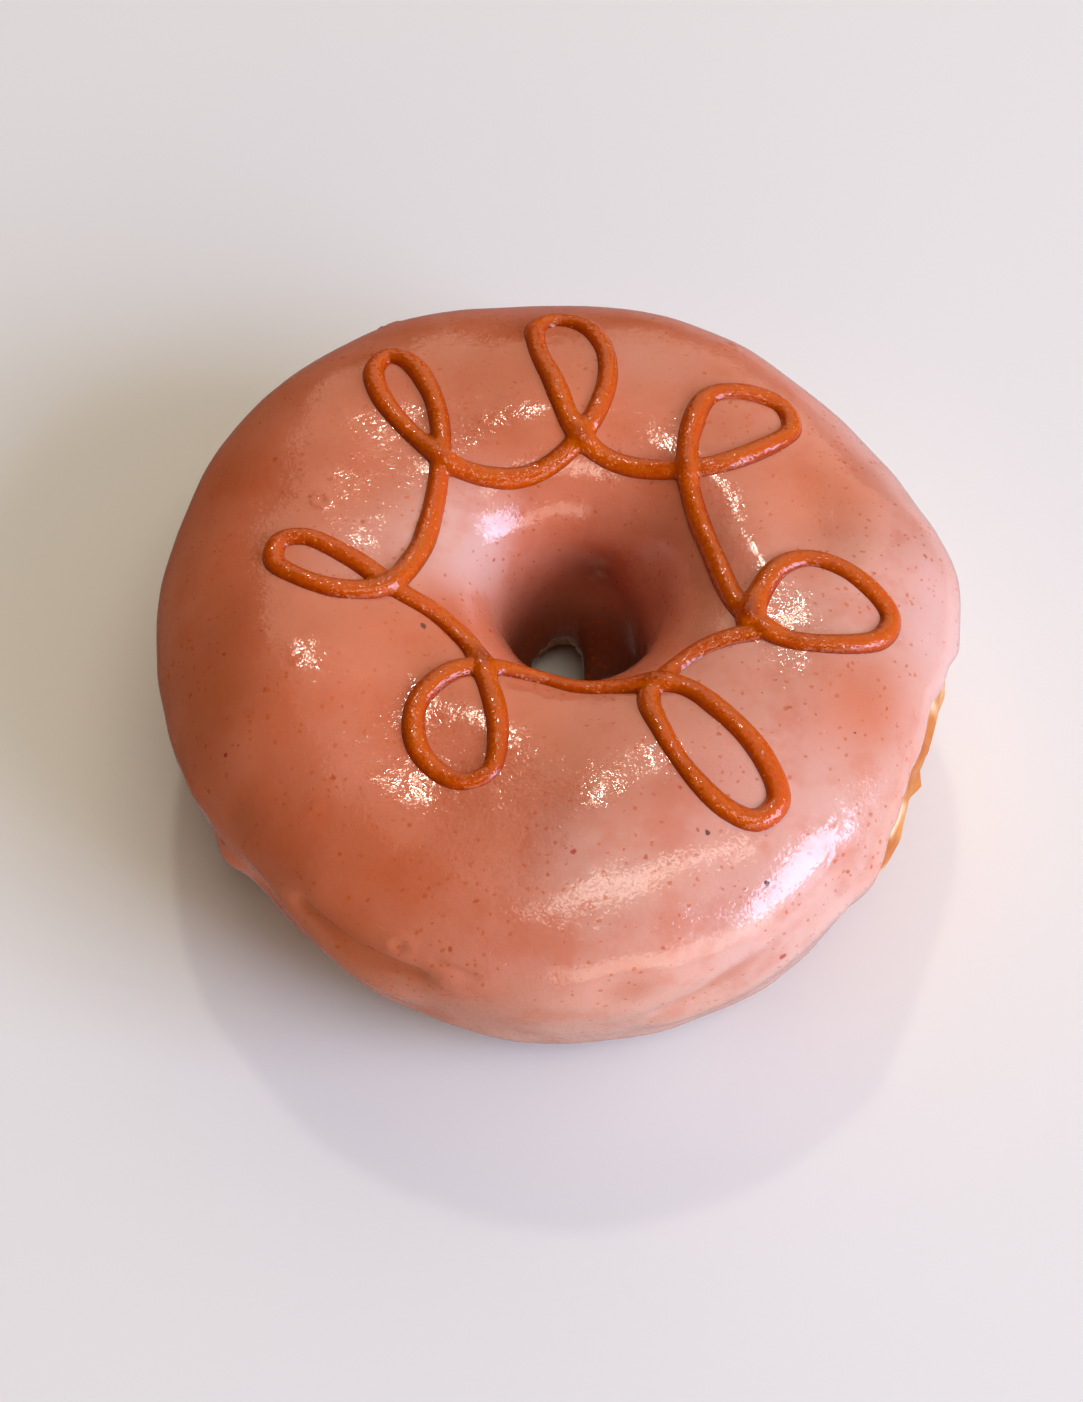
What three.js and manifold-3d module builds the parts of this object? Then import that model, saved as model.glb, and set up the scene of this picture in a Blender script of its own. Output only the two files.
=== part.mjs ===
// Ring doughnut: a fried dough ring under a set sugar glaze, with one line of caramel piped over the
// top in seven loops. Millimetres, +Z up. It stands on the flat underside of its dough.
import * as THREE from 'three';
import Module from 'manifold-3d';

const wasm = await Module();
wasm.setup();

const DEGREE = Math.PI / 180;

// The dough ring. Its section is four quarters of superellipses, which meet at the waist (the widest
// line outside), the crest, the throat (the narrowest line of the hole) and under the crest.
const OUTER_RADIUS = 48.6; // from the axis to the waist
const THROAT_RADIUS = 9.6;
const THROAT_SHIFT = 3.8; // the hole stands off centre
const THROAT_AZIMUTH = 29; // towards here, in degrees
const CREST_RADIUS = 29; // from the axis to the crest
const CREST_SHIFT = 1; // the crest follows the hole a little, along +X
const CREST_HEIGHT = 35.7;
const WAIST_HEIGHT = 25;
const THROAT_HEIGHT = 15;
const CUT_DEPTH = 0.7; // the quarters below reach this far under the flat underside, which cuts them off
const SQUARE_SHOULDER = 2.07; // exponents: 2 is an ellipse, more is squarer
const SQUARE_BELLY = 2.1;
const SQUARE_FUNNEL = 2.7;
const SQUARE_FOOT = 3.6;
// The outline is not a true circle: each wave adds this many low lobes, one of them at the azimuth.
const OUTLINE_WAVES = [
  { lobes: 2, swell: 1.4, azimuth: -73 },
  { lobes: 3, swell: 0.5, azimuth: 23 },
  { lobes: 4, swell: 0.5, azimuth: 15 },
  { lobes: 5, swell: 0.3, azimuth: 2 },
];

// The glaze: a coat of nearly even depth with a bead along its lower edge.
const GAP = 0.3; // kept between pieces that touch
const GLAZE_DEPTH = 1.1;
const EDGE_DEPTH = 0.3; // where the coat ends
const EDGE_ROUNDING = 5; // degrees of the section over which the edge rounds up to full depth
const BEAD_DEPTH = 0.5;
const BEAD_PLACE = 8; // degrees of the section from the edge
// Where the coat ends on the outside: azimuth, then degrees of the section above (+) or below (-) the
// waist. It stops high on the +X side, where bare dough shows, and runs in low drips elsewhere.
const OUTER_EDGE = [
  [0, -14], [18, -34], [34, -46], [48, -40], [66, -52], [84, -44], [102, -56], [120, -43],
  [138, -50], [156, -42], [172, -53], [188, -43], [204, -49], [215, -62], [226, -47], [242, -42],
  [258, -44], [274, -48], [290, -50], [304, -40], [314, -18], [324, 5], [334, 14], [343, 18], [351, 8],
];
// Where it ends inside the hole: azimuth, then degrees of the section past the throat.
const HOLE_EDGE = [
  [0, 24], [50, 33], [95, 22], [140, 30], [190, 24], [235, 36], [280, 27], [325, 19],
];

// The caramel: a half-round line of one thickness, piped clockwise in plan.
const LINE_WIDTH = 2.8;
const LINE_HEIGHT = 2;
const END_ROUNDING = 1.6; // length over which each end of the line rounds off
const END_SWELL = 0.35; // the last drop is this much thicker
const END_SWELL_LENGTH = 3;
// The line in plan, chosen by hand: [x, y] of where the nozzle went. A stretch along the hole's lip
// leads to each of the seven loops in turn, and the last loop ends on top of the start.
const ROUTE = [
  [24.5, -7.5], [21, -8], [17, -9.5], [13.5, -12.5],
  [11, -16.5], [12.5, -22.5], [15.5, -28], [19.5, -32], [23, -33], [25.5, -30.5], [24, -25.5],
  [19.5, -19.5], [14.5, -15],
  [8, -14.5], [3, -14], [-2, -12], [-7, -11.5],
  [-12, -13], [-16, -18], [-15.5, -24], [-11, -28], [-7.5, -27], [-6.5, -21.5], [-8, -13.5],
  [-10, -8], [-14, -4], [-18.5, -1.5],
  [-24.5, 3], [-30, 6], [-33, 5.5], [-33.5, 2.5], [-30, -0.5], [-25, -2], [-20, -1],
  [-16.5, 4], [-15, 9], [-14, 16],
  [-14, 23], [-15.5, 29], [-18.5, 34.5], [-21, 35.5], [-22.5, 33], [-21.5, 28], [-17, 21.5],
  [-12, 17], [-6, 16], [-1, 17.5],
  [3.5, 21.5], [6.5, 28.5], [6.5, 35.5], [4, 41], [0.5, 42.5], [-2, 41], [-2, 36], [0, 29.5],
  [2.5, 22.5],
  [6, 19], [12, 17],
  [19, 16.5], [25.5, 19.5], [29.5, 23.5], [28.5, 27.5], [24, 29], [19.5, 28], [17, 22.5],
  [16.5, 14.5], [19, 5], [22.5, -4.5],
  [27, -8.5], [33, -9.5], [38.5, -8], [40, -4.5], [36, 0.5], [31, 3], [27, 1.5], [24, -3], [23, -7],
];
const CROSSING_LIFT = 0.55; // share of the line's height by which the later pass rides over the earlier
const CROSSING_REACH = 3.6; // distance in plan within which the later pass climbs
const LOOP_LENGTH = 12; // two places further apart than this along the line belong to two passes

// Fineness of the meshes.
const AZIMUTH_STEPS = 80;
const DOUGH_STEPS = 28;
const GLAZE_STEPS = 20;
const LINE_STEP = 1.6;
const STRETCH_STEPS = 12; // a stretch of the line this long cannot cross itself

const clamp = THREE.MathUtils.clamp;

// Smooth closed curve through [azimuth, value] pairs, read at any azimuth in degrees.
function valueAround(pairs, azimuth) {
  const turn = ((azimuth % 360) + 360) % 360;
  const next = pairs.findIndex(([place]) => place > turn);
  const to = next < 0 ? 0 : next;
  const from = (to - 1 + pairs.length) % pairs.length;
  const span = (pairs[to][0] - pairs[from][0] + 360) % 360;
  const share = ((turn - pairs[from][0] + 360) % 360) / span;
  return THREE.MathUtils.lerp(pairs[from][1], pairs[to][1], THREE.MathUtils.smoothstep(share, 0, 1));
}

// Outer, throat and crest radius of the dough at an azimuth.
function radiiAt(azimuth) {
  const waveAt = ({ lobes, swell, azimuth: peak }) => swell * Math.cos(lobes * (azimuth - peak * DEGREE));
  return {
    outer: OUTLINE_WAVES.reduce((radius, wave) => radius + waveAt(wave), OUTER_RADIUS),
    throat: THROAT_RADIUS + THROAT_SHIFT * Math.cos(azimuth - THROAT_AZIMUTH * DEGREE),
    crest: CREST_RADIUS + CREST_SHIFT * Math.cos(azimuth),
  };
}

// The quarter of the section on one side of the crest and above or below the side's reference line:
// the height of that line, half its width and height under a cover of some depth, and its exponent.
function quarter(radii, outside, above, depth) {
  const line = outside ? WAIST_HEIGHT : THROAT_HEIGHT;
  const upper = outside ? SQUARE_SHOULDER : SQUARE_FUNNEL;
  const lower = outside ? SQUARE_BELLY : SQUARE_FOOT;
  return {
    line,
    halfWidth: (outside ? radii.outer - radii.crest : radii.crest - radii.throat) + depth,
    halfHeight: (above ? CREST_HEIGHT - line : line + CUT_DEPTH) + depth,
    power: above ? upper : lower,
  };
}

// Point over the dough: azimuth around the ring, angle around its section (0 at the waist, a quarter
// turn at the crest, a half turn at the throat), and depth of whatever covers the dough.
function surfacePoint(azimuth, angle, depth) {
  const radii = radiiAt(azimuth);
  const across = Math.cos(angle);
  const up = Math.sin(angle);
  const { line, halfWidth, halfHeight, power } = quarter(radii, across > 0, up > 0, depth);
  const reach = (Math.abs(across) ** power + Math.abs(up) ** power) ** (-1 / power);
  const radius = radii.crest + halfWidth * reach * across;
  const height = Math.max(0, line + halfHeight * reach * up);
  return new THREE.Vector3(radius * Math.cos(azimuth), radius * Math.sin(azimuth), height);
}

// Height of the upper side over a place in plan, under a cover of the given depth.
function topHeight(x, y, depth) {
  const radii = radiiAt(Math.atan2(y, x));
  const offset = Math.hypot(x, y) - radii.crest;
  const { line, halfWidth, halfHeight, power } = quarter(radii, offset > 0, true, depth);
  const share = Math.min(Math.abs(offset) / halfWidth, 0.999);
  return line + halfHeight * (1 - share ** power) ** (1 / power);
}

// Angle of the section, below its line, at which a lower quarter meets the flat underside.
function footAngle(line, power) {
  const down = line / (line + CUT_DEPTH);
  return Math.atan2(down, (1 - down ** power) ** (1 / power));
}

// Closed mesh through closed rings of points: the rings follow each other and the last meets the
// first, or both ends are filled in. Each four-sided face is split across its shorter diagonal.
function meshThroughRings(rings, endsMeet) {
  const size = rings[0].length;
  const points = rings.flat();
  const positions = points.flatMap((point) => point.toArray());
  const triangles = [];
  const links = endsMeet ? rings.length : rings.length - 1;
  for (let i = 0; i < links; i++) {
    const here = i * size;
    const there = ((i + 1) % rings.length) * size;
    for (let j = 0; j < size; j++) {
      const k = (j + 1) % size;
      const [a, b, c, d] = [here + j, there + j, there + k, here + k];
      const acrossAC = points[a].distanceTo(points[c]) < points[b].distanceTo(points[d]);
      triangles.push(...(acrossAC ? [a, b, c, a, c, d] : [a, b, d, b, c, d]));
    }
  }
  if (!endsMeet) {
    const last = (rings.length - 1) * size;
    for (let j = 1; j < size - 1; j++) {
      triangles.push(0, j, j + 1, last, last + j + 1, last + j);
    }
  }
  const geometry = new THREE.BufferGeometry();
  geometry.setAttribute('position', new THREE.Float32BufferAttribute(positions, 3));
  geometry.setIndex(triangles);
  geometry.computeVertexNormals();
  return geometry;
}

function aroundRing(sectionAt) {
  const rings = [];
  for (let i = 0; i < AZIMUTH_STEPS; i++) {
    rings.push(sectionAt((i / AZIMUTH_STEPS) * 360 * DEGREE));
  }
  return meshThroughRings(rings, true);
}

// Dough ring: fried dough, flat where it stands.
function doughRing() {
  const start = -footAngle(WAIST_HEIGHT, SQUARE_BELLY);
  const end = Math.PI + footAngle(THROAT_HEIGHT, SQUARE_FOOT);
  return aroundRing((azimuth) => {
    const section = [];
    for (let i = 0; i <= DOUGH_STEPS; i++) {
      const angle = start + ((end - start) * i) / DOUGH_STEPS;
      section.push(surfacePoint(azimuth, angle, 0));
    }
    return section;
  });
}

// Depth of the glaze over the gap, a given number of degrees of the section from its nearer edge.
function glazeDepth(fromEdge) {
  const rise = clamp(fromEdge / EDGE_ROUNDING, 0, 1);
  const round = Math.sqrt(1 - (1 - rise) ** 2);
  const bead = BEAD_DEPTH * Math.exp(-(((fromEdge - BEAD_PLACE) / BEAD_PLACE) ** 2));
  return EDGE_DEPTH + (GLAZE_DEPTH + bead - EDGE_DEPTH) * round;
}

// Glaze coat: a shell over the upper dough, from its drips outside over the crest and into the hole.
// The section has extra points near both edges, where the coat rounds off.
function glazeCoat() {
  const nearEdge = [0, 1.2, 3, 6, 10];
  return aroundRing((azimuth) => {
    const start = valueAround(OUTER_EDGE, azimuth / DEGREE);
    const end = 180 + valueAround(HOLE_EDGE, azimuth / DEGREE);
    const inset = nearEdge[nearEdge.length - 1];
    const angles = nearEdge.map((offset) => start + offset);
    for (let i = 1; i < GLAZE_STEPS; i++) {
      angles.push(start + inset + ((end - start - 2 * inset) * i) / GLAZE_STEPS);
    }
    angles.push(...nearEdge.map((offset) => end - offset).reverse());
    const outside = angles.map((angle) => {
      const depth = GAP + glazeDepth(Math.min(angle - start, end - angle));
      return surfacePoint(azimuth, angle * DEGREE, depth);
    });
    const inside = angles.map((angle) => surfacePoint(azimuth, angle * DEGREE, GAP));
    return outside.concat(inside.reverse());
  });
}

// How much the later pass climbs where it crosses an earlier one, at each station of the line.
function crossingLifts(stations) {
  const apart = Math.ceil(LOOP_LENGTH / LINE_STEP);
  return stations.map((station, i) => {
    const earlier = stations.slice(0, Math.max(0, i - apart));
    const nearest = Math.min(...earlier.map((other) => station.distanceTo(other)), CROSSING_REACH);
    return LINE_HEIGHT * CROSSING_LIFT * (1 - THREE.MathUtils.smoothstep(nearest, 0, CROSSING_REACH));
  });
}

// Thickness of the line as a share of its full size, a given length along it.
function lineSize(along, length) {
  const fromEnd = Math.min(along, length - along);
  const rise = clamp((fromEnd + 0.3) / END_ROUNDING, 0, 1);
  const swell = END_SWELL * Math.exp(-(((length - along) / END_SWELL_LENGTH) ** 2));
  return (1 + swell) * Math.sqrt(1 - (1 - rise) ** 2);
}

// Caramel line: half-round sections set square to the glaze and to the route, joined in stretches.
function caramelLine() {
  const places = ROUTE.map(([x, y]) => new THREE.Vector3(x, y, 0));
  const plan = new THREE.CatmullRomCurve3(places, false, 'centripetal');
  plan.arcLengthDivisions = ROUTE.length * 20;
  const length = plan.getLength();
  const stations = plan.getSpacedPoints(Math.round(length / LINE_STEP));
  const lifts = crossingLifts(stations);
  const halfOutline = [[0.8, 0], [1, 0.3], [0.84, 0.66], [0.46, 0.93]];
  const mirrored = halfOutline.map(([s, h]) => [-s, h]).reverse();
  const outline = [...halfOutline, [0, 1], ...mirrored];
  const bed = GAP + GLAZE_DEPTH + GAP;
  const onGlaze = (x, y) => new THREE.Vector3(x, y, topHeight(x, y, bed));

  const rings = stations.map((station, i) => {
    const { x, y } = station;
    const step = 0.05;
    const alongX = onGlaze(x + step, y).sub(onGlaze(x - step, y));
    const alongY = onGlaze(x, y + step).sub(onGlaze(x, y - step));
    const normal = alongX.cross(alongY).normalize();
    const before = stations[Math.max(0, i - 1)];
    const after = stations[Math.min(stations.length - 1, i + 1)];
    const forward = onGlaze(after.x, after.y).sub(onGlaze(before.x, before.y)).normalize();
    const side = new THREE.Vector3().crossVectors(forward, normal).normalize();
    const size = lineSize((i / (stations.length - 1)) * length, length);
    const foot = onGlaze(x, y).addScaledVector(normal, lifts[i]);
    return outline.map(([s, h]) => foot.clone()
      .addScaledVector(side, (s * LINE_WIDTH * size) / 2)
      .addScaledVector(normal, h * LINE_HEIGHT * size));
  });

  const stretches = [];
  for (let i = 0; i < rings.length - 1; i += STRETCH_STEPS) {
    const stretch = rings.slice(i, i + STRETCH_STEPS + 2);
    if (stretch.length > 1) stretches.push(meshThroughRings(stretch, false));
  }
  return joined(stretches);
}

// One solid out of overlapping ones.
function joined(geometries) {
  const solids = geometries.map((geometry) => new wasm.Manifold(new wasm.Mesh({
    numProp: 3,
    vertProperties: geometry.getAttribute('position').array,
    triVerts: new Uint32Array(geometry.getIndex().array),
  })));
  const mesh = solids.reduce((whole, solid) => whole.add(solid)).getMesh();
  const geometry = new THREE.BufferGeometry();
  geometry.setAttribute('position', new THREE.BufferAttribute(mesh.vertProperties, 3));
  geometry.setIndex(new THREE.BufferAttribute(mesh.triVerts, 1));
  geometry.computeVertexNormals();
  return geometry;
}

function piece(name, geometry, colour, roughness) {
  const material = new THREE.MeshStandardMaterial({ color: colour, roughness, metalness: 0 });
  const mesh = new THREE.Mesh(geometry, material);
  mesh.name = name;
  return mesh;
}

const doughnut = new THREE.Group();
doughnut.add(piece('dough_ring', doughRing(), '#c58a4c', 0.8));
doughnut.add(piece('glaze_coat', glazeCoat(), '#cd8066', 0.25));
doughnut.add(piece('caramel_line', caramelLine(), '#bf5a12', 0.3));

// The origin goes under the middle of the whole doughnut.
const middle = new THREE.Box3().setFromObject(doughnut).getCenter(new THREE.Vector3());
doughnut.position.set(-middle.x, -middle.y, 0);

export default doughnut;
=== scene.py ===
"""Ring doughnut: a fried dough ring under a set sugar glaze, with one line of caramel piped over it."""

import bpy
import numpy as np
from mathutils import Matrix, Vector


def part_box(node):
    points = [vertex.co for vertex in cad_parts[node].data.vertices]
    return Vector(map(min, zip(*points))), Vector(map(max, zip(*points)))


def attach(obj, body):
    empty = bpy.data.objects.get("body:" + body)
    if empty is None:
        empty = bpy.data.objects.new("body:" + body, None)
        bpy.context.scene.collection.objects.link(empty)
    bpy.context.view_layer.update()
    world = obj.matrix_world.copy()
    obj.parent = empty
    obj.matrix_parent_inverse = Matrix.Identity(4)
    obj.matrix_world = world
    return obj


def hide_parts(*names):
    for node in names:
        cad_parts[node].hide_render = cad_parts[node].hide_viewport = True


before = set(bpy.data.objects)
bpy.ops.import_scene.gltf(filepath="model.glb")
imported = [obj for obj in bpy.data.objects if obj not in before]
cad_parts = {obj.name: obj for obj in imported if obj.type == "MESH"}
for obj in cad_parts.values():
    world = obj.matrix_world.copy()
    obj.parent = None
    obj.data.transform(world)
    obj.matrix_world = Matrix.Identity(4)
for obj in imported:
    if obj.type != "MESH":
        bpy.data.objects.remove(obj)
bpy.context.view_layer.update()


# ---- Dough ring ----------------------------------------------------------------------------------
# A ring of yeast dough, proved and fried on both sides, so it is puffed, uneven and golden brown, with
# small blisters and a flat underside. It is one closed skin; its lengths are in millimetres.

MM = 0.001
OUTER_RADIUS = 48.6  # from the axis to the waist, the widest line outside
THROAT_RADIUS = 9.6  # from the axis to the narrowest line of the hole
THROAT_SHIFT = 3.8  # the hole stands off centre
THROAT_AZIMUTH = 29  # towards here, in degrees
CREST_RADIUS = 29
CREST_SHIFT = 1
CREST_HEIGHT = 35.7
WAIST_HEIGHT = 25
THROAT_HEIGHT = 15
CUT_DEPTH = 0.7  # the section would reach this far under the flat underside
SHOULDER, BELLY, FUNNEL, FOOT = 2.07, 2.1, 2.7, 3.6  # exponents of the four quarters of the section
DOUGH_ROUND_STEPS = 400
DOUGH_SECTION_STEPS = 120
OUTLINE_WAVES = [(2, 1.4, -73), (3, 0.5, 23), (4, 0.5, 15), (5, 0.3, 2)]  # lobes, swell, azimuth of one
# Where the glaze ends outside: azimuth, then degrees of the section above (+) or below (-) the waist.
OUTER_EDGE = [
    (0, -14), (18, -34), (34, -46), (48, -40), (66, -52), (84, -44), (102, -56), (120, -43),
    (138, -50), (156, -42), (172, -53), (188, -43), (204, -49), (215, -62), (226, -47), (242, -42),
    (258, -44), (274, -48), (290, -50), (304, -40), (314, -18), (324, 5), (334, 14), (343, 18),
    (351, 8),
]
# Where the dough puffed up more, or less for a negative height: x, y, z, reach, height.
SWELLINGS = [
    (-44, -20.5, 25.7, 7, -0.4), (-42, -24, 18, 6, -1.2), (-39.8, -27.9, 17.5, 3, 1.5),
    (-36, -32, 15.5, 6, -2.2), (-30.5, -36.5, 14.5, 6.5, -1.4), (-33, -36, 22, 8, -0.7),
    (-43, 15, 31, 10, -0.35), (-35, -12.7, 34, 8, 0.9), (-31.8, 32.4, 33.3, 8, 0.4),
    (-6, 44.5, 33.7, 13, -0.85), (24, 38.7, 32, 6, 0.5), (36.8, 24, 33.5, 10, -1.1),
    (48, 6, 30, 7, 1.2), (41.5, -25, 25, 4, 0.7), (39, -30.5, 22, 5, 2.2), (19, -47.5, 19, 13, -1.5),
    (5, -50.5, 16, 11, -0.7), (-14.5, -47.3, 14, 9, -0.5),
    (31.2, 10.8, 36, 6, -1.0), (32.5, 6.3, 36, 5, -0.7),  # a hollow beside the crest
    (-31.5, -7.5, 36, 9, 0.55), (-30, -14, 36, 9, 0.55), (6.5, -31, 36, 9, 1.0),  # along the crest
    (19, -24, 36, 8, 0.7),
    (25, -9, 36, 6, -0.5), (20, 14, 36, 6, 0.5), (23, 4.5, 36, 5, 0.35), (-3.3, 26, 36, 9, 0.9),
    (-20, 20, 36, 8, -0.8), (-15, -26, 36, 9, -0.9), (-9.5, -17.5, 35.5, 5, 0.5),
    (8, 9.5, 6, 5, 5.2), (4.5, 8.5, 6, 3, 2.0), (-5, 8.5, 6, 5, 2.4),  # pinches in the hole
    (6, 12, 20, 4.5, -2.2), (4, 13, 8, 3, -1.5),
]
# Where the glaze ends in the hole: azimuth, then degrees of the section past the throat.
HOLE_EDGE = [(0, 24), (50, 33), (95, 22), (140, 30), (190, 24), (235, 36), (280, 27), (325, 19)]


def over_dough(azimuth, angle, depth):
    """Points on a cover of the smooth dough, in mm from the ring's axis.

    A section is four quarters of superellipses, |across|^p + |up|^p = 1, each stretched to its own half
    width and half height plus the cover's depth. azimuth turns round the ring and angle round the
    section: 0 at the waist, a quarter turn at the crest and a half turn at the throat."""
    outer = OUTER_RADIUS + sum(
        swell * np.cos(lobes * (azimuth - np.radians(peak))) for lobes, swell, peak in OUTLINE_WAVES
    )
    throat = THROAT_RADIUS + THROAT_SHIFT * np.cos(azimuth - np.radians(THROAT_AZIMUTH))
    crest = CREST_RADIUS + CREST_SHIFT * np.cos(azimuth)
    across, up = np.cos(angle), np.sin(angle)
    outside, above = across > 0, up > 0
    line = np.where(outside, WAIST_HEIGHT, THROAT_HEIGHT)
    half_width = np.where(outside, outer - crest, crest - throat) + depth
    half_height = np.where(above, CREST_HEIGHT - line, line + CUT_DEPTH) + depth
    power = np.where(outside, np.where(above, SHOULDER, BELLY), np.where(above, FUNNEL, FOOT))
    reach = (abs(across) ** power + abs(up) ** power) ** (-1 / power)
    radius = crest + half_width * reach * across
    height = np.maximum(line + half_height * reach * up, 0)
    return np.stack(np.broadcast_arrays(radius * np.cos(azimuth), radius * np.sin(azimuth), height), -1)


def foot_angle(line, power):
    """Angle of the section below its line where a lower quarter meets the flat underside."""
    down = line / (line + CUT_DEPTH)
    return np.arctan2(down, (1 - down**power) ** (1 / power))


def lumps(points, size, seed, waves=28):
    """Smooth random heights, mostly between -1 and 1: a sum of sine waves through the points, whose
    directions, phases and wavelengths near the given size are drawn from the seed."""
    draw = np.random.default_rng(seed)
    direction = draw.normal(size=(3, waves))
    direction /= np.linalg.norm(direction, axis=0)
    wavelength = size * draw.uniform(1.1, 2.2, waves)
    phase = draw.uniform(0, 2 * np.pi, waves)
    return np.sin(points @ (direction * 2 * np.pi / wavelength) + phase).sum(-1) / np.sqrt(waves)


def around(pairs, azimuth):
    """Value at each azimuth in degrees, eased from one (azimuth, value) pair to the next on a circle."""
    places, values = np.array(pairs + [(pairs[0][0] + 360, pairs[0][1])], float).T
    turn = (azimuth - places[0]) % 360 + places[0]
    after = np.clip(np.searchsorted(places, turn, side="right"), 1, len(places) - 1)
    share = (turn - places[after - 1]) / (places[after] - places[after - 1])
    return values[after - 1] + (values[after] - values[after - 1]) * share**2 * (3 - 2 * share)


def bells(points, rows):
    """Sum of bell curves of the distance from places: a row is x, y, z, reach, height."""
    total = np.zeros(points.shape[:-1])
    for x, y, z, reach, height in rows:
        total += height * np.exp(-((points - (x, y, z)) ** 2).sum(-1) / reach**2)
    return total


def unevenness(points):
    """How far the puffed dough stands off its smooth shape, in mm, under the glaze as well."""
    return 0.18 * lumps(points, 14, 11) + 0.05 * lumps(points, 6, 12) + bells(points, SWELLINGS)


def ring_mesh(name, points, layers):
    """Mesh of four-sided faces over a grid of points (round the ring, round the section) in mm that
    closes on itself both ways, with named layers of one number per point."""
    corner = np.arange(points.shape[0] * points.shape[1]).reshape(points.shape[:2])
    ahead = np.roll(corner, -1, 0)
    faces = np.stack([corner, ahead, np.roll(ahead, -1, 1), np.roll(corner, -1, 1)], -1)
    mesh = bpy.data.meshes.new(name)
    mesh.vertices.add(corner.size)
    mesh.vertices.foreach_set("co", ((points + axis) * MM).astype(np.float32).ravel())
    mesh.loops.add(faces.size)
    mesh.loops.foreach_set("vertex_index", faces.ravel().astype(np.int32))
    mesh.polygons.add(corner.size)
    mesh.polygons.foreach_set("loop_start", np.arange(0, faces.size, 4, dtype=np.int32))
    mesh.update(calc_edges=True)
    mesh.shade_smooth()
    for label, values in layers.items():
        data = mesh.attributes.new(label, "FLOAT", "POINT").data
        data.foreach_set("value", values.ravel().astype(np.float32))
    return mesh


def finished_piece(name, mesh, material, node):
    """Puts a mesh in the scene as a piece that stands for a CAD node and rides with the doughnut."""
    piece = bpy.data.objects.new(name, mesh)
    bpy.context.scene.collection.objects.link(piece)
    mesh.materials.append(material)
    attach(piece, "root")
    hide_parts(node)
    return piece


# The ring's axis: where the smooth dough has to stand to fill the CAD node's box.
azimuths = np.radians(np.arange(0, 360, 4.5))[:, None]
section = np.linspace(-foot_angle(WAIST_HEIGHT, BELLY), np.pi + foot_angle(THROAT_HEIGHT, FOOT), 29)[None]
smooth = over_dough(azimuths, section, 0)
low, high = (np.array(corner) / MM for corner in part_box("dough_ring"))
axis = (low + high) / 2 - (smooth.min((0, 1)) + smooth.max((0, 1))) / 2
axis[2] = 0

azimuths = np.linspace(0, 2 * np.pi, DOUGH_ROUND_STEPS, endpoint=False)[:, None]
section = np.linspace(section[0, 0], section[0, -1], DOUGH_SECTION_STEPS)[None]
smooth = over_dough(azimuths, section, 0)
outer_edge = around(OUTER_EDGE, np.degrees(azimuths))
hole_edge = 180 + around(HOLE_EDGE, np.degrees(azimuths))
below_glaze = np.maximum(outer_edge - np.degrees(section), np.degrees(section) - hole_edge)  # degrees
bare = np.clip(below_glaze / 4, 0, 1) * np.clip((smooth[..., 2] - 1.5) / 5, 0, 1)
blisters = np.maximum(lumps(smooth, 2.6, 13), 0) ** 2 * 0.32 + 0.05 * lumps(smooth, 1.4, 14)
skin = over_dough(azimuths, section, unevenness(smooth) + bare * blisters)
# The underside joins the two feet, a little hollow between its rounded rims.
across = np.linspace(0, 1, 26)[None, 1:-1, None]
underside = skin[:, -1:] * (1 - across) + skin[:, :1] * across
hollow = np.clip(np.minimum(across, 1 - across)[..., 0] / 0.12, 0, 1)
rough = 0.22 * lumps(underside, 6, 15) + 0.1 * lumps(underside, 2, 16)
underside[..., 2] = hollow * (0.35 + rough).clip(0)
dough_points = np.concatenate([skin, underside], 1)
smear = np.exp(-((below_glaze / 7) ** 2)) * (below_glaze > -6)
smear = np.concatenate([smear, np.zeros(underside.shape[:2])], 1)


def shader(material):
    """Node tree of a new material with its Principled shader."""
    material.use_nodes = True
    nodes = material.node_tree.nodes
    return material.node_tree, nodes["Principled BSDF"]


def add(tree, kind, inputs=None, **settings):
    """Node of a kind, with its settings and with inputs that are values or other nodes' outputs."""
    node = tree.nodes.new(kind)
    for setting, value in settings.items():
        setattr(node, setting, value)
    for socket, value in (inputs or {}).items():
        if isinstance(value, bpy.types.NodeSocket):
            tree.links.new(value, node.inputs[socket])
        else:
            node.inputs[socket].default_value = value
    return node


def colour(code):
    """Linear colour with alpha from a painter's hex code."""
    parts = [int(code[i : i + 2], 16) / 255 for i in (1, 3, 5)]
    return [p / 12.92 if p < 0.04045 else ((p + 0.055) / 1.055) ** 2.4 for p in parts] + [1]


def blend(tree, share, first, second):
    """Colour that goes from the first to the second with the share."""
    inputs = {0: share, 6: first, 7: second}
    return add(tree, "ShaderNodeMix", inputs, data_type="RGBA", clamp_factor=True).outputs[2]


def dab(tree, tone, mask, strength, code):
    """The tone with a colour laid over it where the mask is, at a strength."""
    return blend(tree, sums(tree, "MULTIPLY", mask, strength), tone, colour(code))


def steps(tree, value, start, end, low=0.0, high=1.0):
    """Number that eases from low to high as value goes from start to end."""
    node = add(
        tree, "ShaderNodeMapRange", {0: value, 1: start, 2: end, 3: low, 4: high},
        interpolation_type="SMOOTHSTEP",
    )
    return node.outputs[0]


def sums(tree, operation, first, second):
    """Arithmetic on two numbers."""
    return add(tree, "ShaderNodeMath", {0: first, 1: second}, operation=operation).outputs[0]


def vectors(tree, operation, inputs):
    """Arithmetic on vectors."""
    return add(tree, "ShaderNodeVectorMath", inputs, operation=operation).outputs[0]


def layer(tree, name):
    """Number that the mesh carries at each point under a name."""
    return add(tree, "ShaderNodeAttribute", attribute_name=name).outputs["Fac"]


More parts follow.
